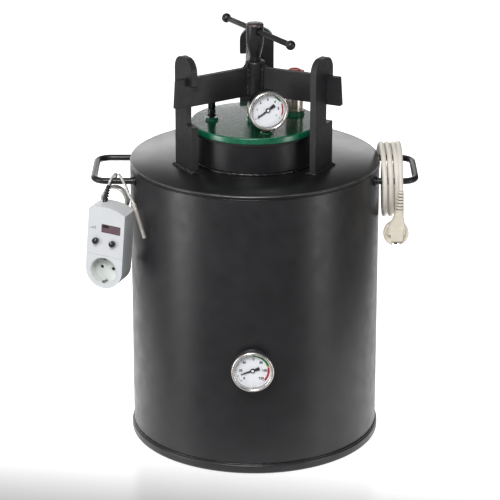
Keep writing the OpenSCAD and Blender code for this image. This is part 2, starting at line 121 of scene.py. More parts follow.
def area_light(name, place, target, width, height, power):
    data = bpy.data.lights.new(name, "AREA")
    data.shape = "RECTANGLE"
    data.size, data.size_y = width, height
    data.energy = power
    lamp = add_object(name, data)
    lamp.location = place
    lamp.visible_camera = False
    lamp.rotation_euler = (Vector(target) - Vector(place)).to_track_quat("-Z", "Y").to_euler()


def plug_in(tree, socket, value):
    """Links an output to the socket, or sets the socket's own value."""
    if isinstance(value, bpy.types.NodeSocket):
        tree.links.new(value, socket)
    else:
        socket.default_value = value


def add_node(tree, kind, *values, **settings):
    """A shader node. A capitalised setting is a socket by name, and any other is the node's own."""
    node = tree.nodes.new("ShaderNode" + kind)
    for name, value in settings.items():
        if name[0].isupper():
            plug_in(tree, node.inputs[name.replace("_", " ")], value)
        else:
            setattr(node, name, value)
    for socket, value in zip(node.inputs, values):
        plug_in(tree, socket, value)
    return node


def make_lights():
    world = bpy.data.worlds.new("studio")
    world.use_nodes = True
    tree = world.node_tree
    place = add_node(tree, "TexCoord").outputs["Generated"]
    towards = add_node(tree, "VectorMath", place, SKY_TOWARDS.normalized(), operation="DOT_PRODUCT")
    half = add_node(tree, "Math", towards.outputs["Value"], 0.5, 0.5, operation="MULTIPLY_ADD")
    ramp = add_node(tree, "ValToRGB", half.outputs["Value"])
    stops = ((0.0, 0.16), (0.45, 0.22), (0.72, 0.42), (1.0, 1.0))
    while len(ramp.color_ramp.elements) < len(stops):
        ramp.color_ramp.elements.new(0.5)
    for stop, (where, level) in zip(ramp.color_ramp.elements, stops):
        stop.position = where
        stop.color = (level * 0.985, level * 0.99, level, 1)
    tree.links.new(ramp.outputs["Color"], tree.nodes["Background"].inputs["Color"])
    tree.nodes["Background"].inputs["Strength"].default_value = SKY_STRENGTH
    bpy.context.scene.world = world
    bpy.context.scene.view_settings.view_transform = "Standard"
    area_light("left_softbox", (-2.2, -0.98, 0.5), (0, 0, 0.25), 0.7, 1.5, 18)
    area_light("right_softbox", (2.1, -1.25, 0.5), (0, 0, 0.25), 0.6, 1.4, 11)
    area_light("key", (-0.5, -2.3, 2.5), (0, 0, 0.3), 1.2, 0.9, 70)
    area_light("back_panel", (-0.45, 1.7, 0.71), (0, 0, 0.5), 2.4, 0.62, 11)


# ---- mesh helpers ----
def add_object(name, data, body=None):
    piece = bpy.data.objects.new(name, data)
    bpy.context.scene.collection.objects.link(piece)
    if body:
        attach(piece, body)
    return piece


def put(name, mesh, body, finish, node=None):
    """A painted piece that rides on a body, and stands for a CAD node where one is named."""
    piece = add_object(name, mesh, body)
    paint(piece, finish)
    if node:
        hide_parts(node)
    return piece


def shade(mesh, angle=38):
    for face in mesh.polygons:
        face.use_smooth = True
    mesh.set_sharp_from_angle(angle=radians(angle))


def mesh_of(name, verts, faces, matrix=Matrix.Identity(4), angle=38):
    mesh = bpy.data.meshes.new(name)
    mesh.from_pydata([matrix @ Vector(v) for v in verts], [], faces)
    bm = bmesh.new()
    bm.from_mesh(mesh)
    bmesh.ops.recalc_face_normals(bm, faces=bm.faces)
    bm.to_mesh(mesh)
    bm.free()
    shade(mesh, angle)
    return mesh


def mesh_from(bm, name, angle=38):
    mesh = bpy.data.meshes.new(name)
    bmesh.ops.recalc_face_normals(bm, faces=bm.faces)
    bm.to_mesh(mesh)
    bm.free()
    shade(mesh, angle)
    return mesh


def lathe(name, profile, matrix=Matrix.Identity(4), steps=96, angle=38):
    """A turned solid: profile is a list of (radius, height) from the axis to the axis."""
    verts, faces, levels = [], [], []
    for r, z in profile:
        if r < 1e-7:
            levels.append([len(verts)])
            verts.append((0, 0, z))
        else:
            levels.append(list(range(len(verts), len(verts) + steps)))
            for k in range(steps):
                a = tau * k / steps
                verts.append((r * cos(a), r * sin(a), z))
    closed = len(levels[0]) > 1
    pairs = list(zip(levels, levels[1:])) + ([(levels[-1], levels[0])] if closed else [])
    for low, high in pairs:
        for k in range(steps):
            m = (k + 1) % steps
            if len(low) == 1 and len(high) == 1:
                continue
            if len(low) == 1:
                faces.append((low[0], high[m], high[k]))
            elif len(high) == 1:
                faces.append((low[k], low[m], high[0]))
            else:
                faces.append((low[k], low[m], high[m], high[k]))
    return mesh_of(name, verts, faces, matrix, angle)


def soften(bm, width, segments, angle):
    edges = [e for e in bm.edges if len(e.link_faces) == 2 and e.calc_face_angle() > radians(angle)]
    bmesh.ops.bevel(bm, geom=edges, offset=width, segments=segments, profile=0.5, affect="EDGES",
        clamp_overlap=True)


def plate(name, outline, low, high, bevel, matrix=Matrix.Identity(4), segments=3, angle=30):
    """A flat outline raised from low to high, with its edges rounded."""
    bm = bmesh.new()
    bottom = [bm.verts.new((x, y, low)) for x, y in outline]
    top = [bm.verts.new((x, y, high)) for x, y in outline]
    bm.faces.new(bottom[::-1])
    bm.faces.new(top)
    for k in range(len(outline)):
        m = (k + 1) % len(outline)
        bm.faces.new((bottom[k], bottom[m], top[m], top[k]))
    if bevel:
        soften(bm, bevel, segments, angle)
    bm.transform(matrix)
    return mesh_from(bm, name)


def block(name, low, high, bevel, matrix=Matrix.Identity(4)):
    """A box between two corners, in millimetres, with its edges rounded."""
    outline = scaled([(low[0], low[1]), (high[0], low[1]), (high[0], high[1]), (low[0], high[1])])
    return plate(name, outline, low[2] * MM, high[2] * MM, bevel * MM, matrix)


def frames_along(path):
    """A tangent, normal and binormal at each point of a path, without twist."""
    count = len(path)
    tangents = [(path[min(i + 1, count - 1)] - path[max(i - 1, 0)]).normalized() for i in range(count)]
    side = tangents[0].orthogonal().normalized()
    result = []
    for t in tangents:
        side = (side - side.dot(t) * t).normalized()
        result.append((t, side, t.cross(side)))
    return result


def rings(rows, sides, closed=False, caps=False):
    """The faces between rows of points, each row a ring of this many sides."""
    faces = []
    for i in range(rows if closed else rows - 1):
        for k in range(sides):
            m, j = (k + 1) % sides, (i + 1) % rows
            faces.append((i * sides + k, i * sides + m, j * sides + m, j * sides + k))
    if caps:
        faces += [tuple(range(sides))[::-1], tuple((rows - 1) * sides + k for k in range(sides))]
    return faces


def tube(name, path, radius, sides=16, closed=False, angle=60):
    """A tube along a path. radius is a number or a function of the point's place, 0 to 1."""
    verts, count = [], len(path)
    for i, (t, side, up) in enumerate(frames_along(path)):
        r = radius(i / (count - 1)) if callable(radius) else radius
        for k in range(sides):
            a = tau * k / sides
            verts.append(path[i] + r * (cos(a) * side + sin(a) * up))
    return mesh_of(name, verts, rings(count, sides, closed, not closed), angle=angle)


def joined(name, meshes, angle=38):
    bm = bmesh.new()
    for mesh in meshes:
        bm.from_mesh(mesh)
        bpy.data.meshes.remove(mesh)
    return mesh_from(bm, name, angle)


def curve_through(points, steps):
    """A smooth path through the points, by the same rule as the CAD's tubes."""
    path = []
    last = len(points) - 1
    for i in range(last):
        a, b, c, d = (points[j] for j in (max(i - 1, 0), i, i + 1, min(i + 2, last)))
        for k in range(steps):
            t = k / steps
            path.append(0.5 * (2 * b + (c - a) * t + (2 * a - 5 * b + 4 * c - d) * t * t
                + (3 * b - a - 3 * c + d) * t ** 3))
    path.append(points[last])
    return path


def length_of(path):
    return sum((b - a).length for a, b in zip(path, path[1:]))


def evenly(path, gap):
    """The path again, with its points the same distance apart."""
    total = length_of(path)
    step = total / max(1, round(total / gap))
    result, left = [path[0]], step
    for a, b in zip(path, path[1:]):
        length = (b - a).length
        done = 0.0
        while length - done >= left:
            done += left
            result.append(a.lerp(b, done / length))
            left = step
        left -= length - done
    if (result[-1] - path[-1]).length > step * 0.4:
        result.append(path[-1])
    else:
        result[-1] = path[-1]
    return result


def arc(centre, r, start, stop, steps):
    """Points on an arc, in degrees."""
    turns = (radians(start + (stop - start) * i / steps) for i in range(steps + 1))
    return [(centre[0] + r * cos(a), centre[1] + r * sin(a)) for a in turns]


def facing(point, turn):
    """The frame of something whose +Z looks out horizontally at this turn, as in the CAD."""
    return Matrix.Translation(point) @ turned(turn) @ turned(90, "Y")


def along(start, end):
    """The frame whose +Z runs from start to end, and the distance between them."""
    run = end - start
    return Matrix.Translation(start) @ run.to_track_quat("Z", "Y").to_matrix().to_4x4(), run.length


def settled(piece):
    """A new mesh of the piece as its modifiers leave it."""
    bpy.context.view_layer.update()
    graph = bpy.context.evaluated_depsgraph_get()
    return bpy.data.meshes.new_from_object(piece.evaluated_get(graph))


def cut(piece, cutters):
    """Cuts the cutters' meshes out of a piece."""
    for mesh in cutters:
        tool = add_object("cutter", mesh)
        step = piece.modifiers.new("cut", "BOOLEAN")
        step.operation, step.solver, step.object = "DIFFERENCE", "EXACT", tool
        result = settled(piece)
        piece.modifiers.remove(step)
        piece.data = result
        shade(result)
        bpy.data.objects.remove(tool)
    return piece


# ---- materials ----
def find(tree, kind):
    return next(n for n in tree.nodes if n.type == kind)


def finish_of(name, colour, rough, grain, bump, vary, patch, metal=0.0, rough_vary=0.0, coat=0.0,
        coat_rough=0.1, ior=1.5, stretch=(1, 1, 1), alpha=1.0, detail=3):
    """A surface with its own grain, patches of colour and of roughness, and fine relief."""
    made = bpy.data.materials.new(name)
    made.use_nodes = True
    tree = made.node_tree
    shader = find(tree, "BSDF_PRINCIPLED")
    for socket, value in (("Base Color", (*colour, 1)), ("Roughness", rough), ("Metallic", metal),
            ("Coat Weight", coat), ("Coat Roughness", coat_rough), ("IOR", ior), ("Alpha", alpha)):
        shader.inputs[socket].default_value = value
    place = add_node(tree, "TexCoord").outputs["Object"]
    place = add_node(tree, "Mapping", Vector=place, Scale=stretch).outputs["Vector"]

    def noise_at(scale, depth):
        return add_node(tree, "TexNoise", Vector=place, Scale=scale, Detail=depth).outputs["Fac"]

    if vary:
        ramp = add_node(tree, "ValToRGB", noise_at(patch, 5))
        for stop, where, share in zip(ramp.color_ramp.elements, (0.3, 0.7), (1 - vary, 1 + vary)):
            stop.position = where
            stop.color = (*[min(1, c * share) for c in colour], 1)
        tree.links.new(ramp.outputs["Color"], shader.inputs["Base Color"])
    if rough_vary:
        spread = add_node(tree, "MapRange", noise_at(patch * 1.7, 4), From_Min=0.3, From_Max=0.7,
            To_Min=max(0.02, rough - rough_vary), To_Max=min(1, rough + rough_vary))
        tree.links.new(spread.outputs["Result"], shader.inputs["Roughness"])
    if bump:
        relief = add_node(tree, "Bump", Strength=bump, Distance=0.0004, Height=noise_at(grain, detail))
        tree.links.new(relief.outputs["Normal"], shader.inputs["Normal"])
    return made


# each finish: colour, roughness, grain, bump, colour variation, patch scale, and what else it has
FINISHES = {
    "black_paint": ((0.0125, 0.0125, 0.014), 0.37, 1400, 0.1, 0.22, 26, dict(rough_vary=0.06, detail=4)),
    "top_paint": ((0.007, 0.007, 0.0075), 0.31, 1100, 0.06, 0.15, 22, dict(rough_vary=0.02, detail=4)),
    "plate_paint": ((0.016, 0.016, 0.0175), 0.46, 1300, 0.14, 0.2, 60, dict(rough_vary=0.07, detail=4)),
    "weld": ((0.004, 0.004, 0.0045), 0.26, 500, 0.35, 0.25, 150, {}),
    "handle_paint": ((0.009, 0.009, 0.01), 0.36, 700, 0.07, 0.2, 80, {}),
    "brushed_steel": ((0.74, 0.7, 0.66), 0.27, 160, 0.012, 0.12, 60, dict(metal=1, stretch=(1, 1, 14))),
    "case_steel": ((0.42, 0.42, 0.43), 0.32, 400, 0.06, 0.12, 90, dict(metal=1)),
    "dial": ((0.93, 0.95, 0.99), 0.5, 2500, 0.02, 0.015, 60, {}),
    "glass": ((1, 1, 1), 0.03, 900, 0, 0.01, 20, dict(ior=1.15, alpha=0.012)),
    "pointer": ((0.008, 0.008, 0.009), 0.35, 2000, 0.03, 0.1, 200, {}),
    "heater_steel": ((0.33, 0.32, 0.3), 0.38, 600, 0.1, 0.3, 40, dict(metal=1)),
    "rack_steel": ((0.5, 0.5, 0.48), 0.33, 300, 0.06, 0.12, 20, dict(metal=1, rough_vary=0.08)),
    "box_paint": ((0.016, 0.016, 0.018), 0.45, 1200, 0.15, 0.2, 70, {}),
    "screw_steel": ((0.55, 0.54, 0.5), 0.28, 900, 0.08, 0.2, 200, dict(metal=1)),
    "gland_plastic": ((0.018, 0.018, 0.02), 0.5, 1500, 0.08, 0.1, 150, {}),
    "lead": ((0.78, 0.74, 0.665), 0.45, 500, 0.06, 0.05, 30, {}),
    "plug_plastic": ((0.82, 0.76, 0.64), 0.38, 1300, 0.05, 0.04, 60, {}),
    "pin_metal": ((0.72, 0.7, 0.66), 0.16, 700, 0.03, 0.08, 150, dict(metal=1)),
    "lid_green": ((0.0015, 0.045, 0.021), 0.13, 900, 0.2, 0.35, 90,
        dict(rough_vary=0.03, coat=0.3, coat_rough=0.05)),
    "rim_green": ((0.003, 0.12, 0.058), 0.28, 420, 0.35, 0.3, 150,
        dict(coat=0.5, coat_rough=0.14, detail=5)),
    "gasket_rubber": ((0.02, 0.017, 0.015), 0.6, 900, 0.1, 0.1, 60, {}),
    "brass": ((0.56, 0.41, 0.18), 0.26, 500, 0.06, 0.15, 100, dict(metal=1)),
    "old_brass": ((0.09, 0.06, 0.03), 0.4, 500, 0.06, 0.3, 100, dict(metal=1)),
    "case_black": ((0.01, 0.01, 0.011), 0.25, 900, 0.05, 0.15, 90, {}),
    "nickel": ((0.58, 0.51, 0.44), 0.3, 180, 0.015, 0.12, 70, dict(metal=1, stretch=(1, 1, 10))),
    "red_plastic": ((0.33, 0.003, 0.006), 0.38, 900, 0.03, 0.08, 90, dict(coat=0.25)),
    "valve_black": ((0.008, 0.013, 0.011), 0.25, 800, 0.06, 0.2, 120, {}),
    "hub_cast": ((0.017, 0.017, 0.0185), 0.36, 230, 0.6, 0.3, 110, dict(rough_vary=0.1, detail=6)),
    "screw_black": ((0.014, 0.014, 0.0155), 0.33, 900, 0.12, 0.25, 90, dict(rough_vary=0.07, detail=4)),
    # painted highlight: a lighter grey for the top plate's rim band, standing in for the rim's reflection
    # of the lights
    "painted_rim_highlight": ((0.055, 0.053, 0.052), 0.34, 900, 0.1, 0.5, 60, {}),
    "worn_edge": ((0.11, 0.085, 0.08), 0.4, 900, 0.2, 0.4, 260, dict(metal=0.6)),
    "thermostat_white": ((0.68, 0.695, 0.715), 0.5, 2200, 0.06, 0.015, 40, {}),
    "thermostat_grey": ((0.66, 0.675, 0.685), 0.5, 2200, 0.07, 0.02, 40, {}),
    "display": ((0.13, 0.075, 0.09), 0.16, 900, 0.01, 0.06, 90, dict(coat=1, coat_rough=0.04)),
    "circuit": ((0.015, 0.12, 0.05), 0.4, 900, 0.1, 0.2, 200, {}),
    "relief_rubber": ((0.006, 0.006, 0.007), 0.42, 1500, 0.06, 0.15, 120, {}),
    "knob_plastic": ((0.012, 0.012, 0.014), 0.3, 1500, 0.05, 0.1, 200, {}),
    "sensor_lead": ((0.52, 0.5, 0.47), 0.22, 900, 0.04, 0.2, 120, dict(coat=0.8, coat_rough=0.1)),
    "probe_steel": ((0.86, 0.8, 0.71), 0.3, 500, 0.05, 0.15, 120, dict(metal=0.75, stretch=(1, 1, 6))),
    "socket_plastic": ((0.64, 0.67, 0.65), 0.45, 1800, 0.05, 0.03, 60, {}),
    "grey_ink": ((0.3, 0.31, 0.33), 0.5, 2000, 0.02, 0.1, 300, {}),
    "ink": ((0.008, 0.009, 0.012), 0.6, 2000, 0.02, 0.1, 300, {}),
    "green_ink": ((0.004, 0.24, 0.025), 0.6, 2000, 0.02, 0.06, 300, {}),
    "red_ink": ((0.52, 0.002, 0.003), 0.6, 2000, 0.02, 0.06, 300, {}),
    "yellow_ink": ((0.85, 0.42, 0.01), 0.5, 2000, 0.02, 0.06, 300, {}),
    # near-black: painted shade at the bottom of the socket's pin holes, and the display's own dark strip
    "painted_shade_and_display_black": ((0.006, 0.006, 0.006), 0.7, 900, 0.05, 0.1, 100, {}),
    # painted shade: a brown near-black laid in the plug's notches and in the slots of its boot
    "painted_shade_brown": ((0.035, 0.022, 0.014), 0.6, 900, 0.05, 0.2, 100, {}),
    "clip_metal": ((0.22, 0.21, 0.19), 0.3, 700, 0.06, 0.25, 200, dict(metal=1)),
}
MATERIALS = {}


def make_materials():
    """One finish for each of the record's slots, and a few for parts of a slot's pieces."""
    for name, (*values, extras) in FINISHES.items():
        MATERIALS[name] = finish_of("finish_" + name, *values, **extras)
    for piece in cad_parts.values():
        piece.data.materials[0] = MATERIALS[piece.data.materials[0].name]
    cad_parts["gauge_stem"].data.materials[0] = MATERIALS["old_brass"]


def paint(piece, finish):
    piece.data.materials.clear()
    piece.data.materials.append(MATERIALS[finish])


# ---- cords: their routes are the CAD's own ----
LEAD_ROUTE = [(65, 219, 56), (80, 219, 53), (96, 215, 42), (110, 208, 26), (124, 199, 12),
    (140, 187, 5.2), (157, 171, 4.4), (172, 152, 4.4), (183, 132, 7), (188, 114, 16), (189, 100, 34),
    (188, 91, 62), (188, 87, 100), (188, 86, 145), (188, 86, 190), (188, 86, 235), (188, 86, 280),
    (188, 85, 320), (190, 82, 355), (193, 78, 388)]
TAIL_ROUTE = [(225, 72, 424), (225, 66, 441), (225, 53, 455), (225, 34, 465), (225, 12, 469.5),
    (225, -12, 469.5), (225, -34, 465.5), (224.5, -54, 457), (224, -70, 445), (224, -80, 433),
    (224, -84, 425)]
SENSOR_OUT = [(-225, -70, 429), (-222.5, -67, 435.5), (-219, -62.5, 440.5), (-216, -57, 443),
    (-214, -51.5, 441.5), (-214.5, -46.8, 436), (-218.5, -44, 429), (-225, -43.2, 420.5),
    (-232, -43.4, 411.5)]
SENSOR_BACK = [(-197, -44, 409.5), (-199.5, -44.2, 418), (-203, -45.3, 426.5), (-206.5, -48.2, 434.5),
    (-209, -53, 440.8), (-209, -59, 443), (-206.5, -65, 441.5), (-203, -70.5, 436.5), (-199, -76, 429.5),
    (-194.8, -81.5, 421), (-190.2, -86.8, 413.8), (-185.5, -92, 407)]
WIND_TURNS = 3


def lead_path():
    """Out of the gland, up the side, three turns round the handle, and down to the plug."""
    points = [mm(*p) for p in LEAD_ROUTE]
    steps = 24 * WIND_TURNS
    for k in range(steps + 1):
        a = tau * k / 24
        points.append(mm(196 + 28.5 * k / steps, 73 * cos(a), 417 + 53 * sin(a)))
    points += [mm(*p) for p in TAIL_ROUTE]
    return evenly(curve_through(points, 8), 3 * MM)


def sensor_path():
    """Out of the strain relief, over the handle's bar, through its small coil and back over."""
    points = [mm(*p) for p in SENSOR_OUT]
    centre, across, back = mm(-216.5, -44, 398), Vector((0.934, -0.358, 0)), Vector((-0.358, -0.934, 0))
    steps = 86
    for k in range(steps + 1):
        a = radians(165 + 1285 * k / steps)
        ring = cos(a) * across + sin(a) * Vector((0, 0, 1))
        points.append(centre + 20 * MM * ring + (7.4 - 14.8 * k / steps) * MM * back)
    points += [mm(*p) for p in SENSOR_BACK]
    return evenly(curve_through(points, 6), 2 * MM)


def cord_curve(name, path, radius, body, material):
    data = bpy.data.curves.new(name, "CURVE")
    data.dimensions = "3D"
    data.bevel_depth = radius
    data.bevel_resolution = 5
    data.use_fill_caps = True
    line = data.splines.new("POLY")
    line.points.add(len(path) - 1)
    for point, place in zip(line.points, path):
        point.co = (*place, 1)
    line.use_smooth = True
    data.materials.append(MATERIALS[material])
    return add_object(name, data, body)


def make_cords():
    """Lays both cords and returns each with its path."""
    lead_line, sensor_line = lead_path(), sensor_path()
    lead = cord_curve("mains_lead", lead_line, LEAD_R, "root", "lead")
    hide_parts("power_cord", "cord_coil")
    sensor = cord_curve("sensor_lead", sensor_line, SENSOR_R, "thermostat", "sensor_lead")
    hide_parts("sensor_cable", "sensor_coil")
    return (lead, lead_line), (sensor, sensor_line)


# ---- floor ----
def make_floor():
    corners = [(x * FLOOR_HALF, y * FLOOR_HALF, FLOOR_Z) for x, y in ((-1, -1), (1, -1), (1, 1), (-1, 1))]
    mesh = mesh_of("studio_floor", corners, [(0, 1, 2, 3)])
    finish = finish_of("floor_glow_with_painted_falloff", (0.80, 0.80, 0.805), 0.2, 40, 0.01, 0.006, 3, ior=1.33)
    tree = finish.node_tree
    shader = find(tree, "BSDF_PRINCIPLED")
    place = add_node(tree, "SeparateXYZ", find(tree, "TEX_COORD").outputs["Object"]).outputs
    across = add_node(tree, "Math", place["X"], operation="ABSOLUTE").outputs["Value"]

    def leaning(source, other, share):
        return add_node(tree, "Math", other, share, source, operation="MULTIPLY_ADD").outputs["Value"]

    # painted shade: the floor glows to stay white, and its colour and glow both darken towards the
    # front-left, the sides and far off, a painted falloff of the studio light
    level = 1.0
    for source, start, stop in ((leaning(across, place["Y"], -0.14), 1.1, 0.48),
            (leaning(place["Y"], place["X"], 0.22), -0.45, 0.05), (place["Y"], 6.0, 3.1)):
        fade = add_node(tree, "MapRange", source, From_Min=start, From_Max=stop,
            interpolation_type="SMOOTHSTEP").outputs["Result"]
        level = add_node(tree, "Math", level, fade, operation="MULTIPLY").outputs["Value"]
    ramp = add_node(tree, "ValToRGB", level)
    ramp.color_ramp.elements[0].color = (0.16, 0.16, 0.163, 1)
    ramp.color_ramp.elements[1].color = (0.8, 0.8, 0.805, 1)
    for socket in ("Base Color", "Emission Color"):
        tree.links.new(ramp.outputs["Color"], shader.inputs[socket])
    shader.inputs["Emission Strength"].default_value = FLOOR_GLOW
    mesh.materials.append(finish)
    add_object("studio_floor", mesh)


# ---- vessel ----
def lump(seed, scale=140):
    """A bead's own unevenness, from -1 to 1, at a point."""
    def at(place):
        return noise.noise(Vector(place) * scale + Vector((seed * 7.3, seed * 3.1, seed)))
    return at


def bead(name, path, radius, seed, ripple=0.0022, depth=0.18, closed=False, sides=12):
    """A weld bead: a lumpy tube whose ripples follow the welder's steps."""
    path = evenly(path, 0.9 * MM)
    if closed:
        path = path[:-1]
    uneven = lump(seed)
    count = len(path)

    def thickness(t):
        place = path[min(count - 1, round(t * (count - 1)))]
        travel = t * count * 0.9 * MM
        wave = abs(sin(pi * travel / ripple))
        return radius * (1 - depth * 0.5 + depth * wave * 0.6 + 0.28 * uneven(place))
    return tube(name, path, thickness, sides, closed=closed)


def ring_path(r, z, steps=360):
    return [Vector((r * cos(tau * k / steps), r * sin(tau * k / steps), z)) for k in range(steps + 1)]


def upright_frame(angle):
    """Outline x along the tangent, outline y up, and depth outwards from the plate's inner face."""
    swap = Matrix(((0, 0, 1, 0), (1, 0, 0, 0), (0, 1, 0, 0), (0, 0, 0, 1)))
    return turned(angle) @ moved(UPRIGHT_N, 0, 0) @ swap


def upright_outline():
    """The arched plate, with the notch and lip that a yoke arm turns into."""
    (left, right), round_r = UPRIGHT_X, 21 * MM
    top, step, lip, recess = (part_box("upright_back")[1].z, 525 * MM, 588 * MM, 600 * MM)
    points = [(left, TOP_Z), (right, TOP_Z), (right, step)]
    points += arc((8 * MM, step + 4 * MM), 4 * MM, -90, -180, 5)
    points += [(4 * MM, recess - 1.5 * MM), (5.5 * MM, recess), (12.5 * MM, recess),
        (14 * MM, recess - 1.5 * MM), (14 * MM, lip + 3 * MM)]
    points += [(14.6 * MM, lip + 0.9 * MM), (16 * MM, lip), (22.5 * MM, lip), (right, lip + 1.5 * MM)]
    points += arc((right - round_r, top - round_r), round_r, 0, 90, 14)
    points += arc((left + round_r, top - round_r), round_r, 90, 180, 14)
    return points


def make_vessel():
    shell_low, shell_high = (c.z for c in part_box("body_shell"))
    wall = 3 * MM
    r = BODY_R
    body = lathe("shell_skin", [(r - wall, shell_low), (r, shell_low), (r, shell_high - 6 * MM),
        (r - 0.5 * MM, shell_high - 4.5 * MM), (r - 0.9 * MM, shell_high - 2.5 * MM),
        (r - 0.9 * MM, shell_high), (r - wall, shell_high)], steps=256)
    put("shell_skin", body, "root", "black_paint", "body_shell")
    top = lathe("top_disc", [(NECK_R, shell_high), (r - 1.2 * MM, shell_high),
        (r - 0.2 * MM, shell_high + 0.7 * MM), (r, shell_high + 1.8 * MM), (r, TOP_Z - 2.0 * MM),
        (r - 0.5 * MM, TOP_Z - 0.8 * MM), (r - 1.7 * MM, TOP_Z), (NECK_R, TOP_Z)], steps=256)
    put("top_disc", top, "root", "top_paint", "top_plate")
    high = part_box("neck_collar")[1].z
    neck = lathe("neck_ring", [(NECK_R - 4 * MM, TOP_Z - 5 * MM), (NECK_R, TOP_Z - 5 * MM),
        (NECK_R, high - 0.9 * MM), (NECK_R - 0.9 * MM, high), (NECK_R - 3.2 * MM, high),
        (NECK_R - 4 * MM, high - 0.8 * MM)], steps=192)
    put("neck_ring", neck, "root", "black_paint", "neck_collar")
    seam = bead("neck_weld", ring_path(NECK_R + 1.1 * MM, TOP_Z + 1.1 * MM), 3.1 * MM, 3, closed=True)
    put("neck_weld", seam, "root", "weld", "weld_beads")
    # a thin lighter band over the top plate's rounded rim: a painted highlight standing in for its
    # reflection of the lights
    edge = lathe("rim_edge", scaled([(-1.75, -0.02), (-0.55, -0.82), (-0.1, -1.8), (0.02, -1.8),
        (-0.42, -0.7), (-1.7, 0.06)], x=r, y=TOP_Z), steps=256, angle=70)
    put("rim_edge", edge, "root", "painted_rim_highlight")
    rim = bead("rim_weld", ring_path(r - 0.85 * MM, shell_high - 1.4 * MM), 0.8 * MM, 5, closed=True,
        sides=8, ripple=0.003)
    put("rim_weld", rim, "root", "weld")
    base = bead("base_weld", ring_path(r + 0.5 * MM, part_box("base_ring")[1].z + 0.6 * MM), 1.3 * MM, 6,
        closed=True, sides=8, ripple=0.003)
    put("base_weld", base, "root", "weld")

    for name, angle in zip(("left", "right", "back"), UPRIGHT_ANGLES):
        frame_here = upright_frame(angle)
        mesh = plate("upright_plate", upright_outline(), 0, UPRIGHT_T, 1.1 * MM, frame_here)
        put("upright_plate_" + name, mesh, "root", "plate_paint", "upright_" + name)
        low, high = UPRIGHT_X
        beads = []
        for k in range(2):
            out, up = (0.4 + 2.6 * k) * MM, TOP_Z + (1.6 - 1.2 * k) * MM
            wobble = lump(angle + 3 * k, 90)
            path = []
            corners = [(low - out, UPRIGHT_T + out), (high + out, UPRIGHT_T + out), (high + out, -out),
                (low - out, -out), (low - out, UPRIGHT_T + out)]
            for (x0, y0), (x1, y1) in zip(corners, corners[1:]):
                steps = max(2, int(hypot(x1 - x0, y1 - y0) / (3 * MM)))
                for i in range(steps):
                    x, y = x0 + (x1 - x0) * i / steps, y0 + (y1 - y0) * i / steps
                    stray = wobble((x, y, angle)) * 1.1 * MM
                    path.append(frame_here @ Vector((x + stray, up + 0.3 * stray, y + stray * 0.6)))
            path.append(path[0])
            beads.append(bead("foot", path, (2.7 - 0.6 * k) * MM, angle + 5 * k, closed=True, sides=10,
                depth=0.5, ripple=0.003))
        mesh = joined("foot_weld", beads, 60)
        put("foot_weld_" + name, mesh, "root", "weld")

    for side, name in ((1, "right"), (-1, "left")):
        reach = max(abs(corner.x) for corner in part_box("handle_" + name)) - HANDLE_R
        y, bend = HANDLE_BAR_Y, 20 * MM
        ends = 186 * MM
        outline = [(ends, -y), (reach - bend, -y)]
        outline += arc((reach - bend, bend - y), bend, -90, 0, 10)[1:]
        outline += arc((reach - bend, y - bend), bend, 0, 90, 10) + [(ends, y)]
        path = [Vector((side * u, v, HANDLE_Z)) for u, v in outline]
        rod = tube("handle_rod", evenly(path, 4 * MM), HANDLE_R, 28)
        put("handle_rod_" + name, rod, "root", "handle_paint", "handle_" + name)
        beads = []
        for end in (-1, 1):
            path = []
            for a in (tau * k / 48 for k in range(49)):
                v, z = end * y + 1.12 * HANDLE_R * cos(a), HANDLE_Z + 1.12 * HANDLE_R * sin(a)
                path.append(Vector((side * (sqrt(BODY_R ** 2 - v ** 2) + 0.8 * MM), v, z)))
            beads.append(bead("rod", path, 2.3 * MM, 20 + end, closed=True, depth=0.3))
        mesh = joined("handle_weld", beads, 60)
        put("handle_weld_" + name, mesh, "root", "weld")

    box_low, box_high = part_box("terminal_box")
    box = block("terminal_cover", (box_low.x / MM, 186, box_low.z / MM), box_high / MM, 2.2)
    put("terminal_cover", box, "root", "box_paint", "terminal_box")


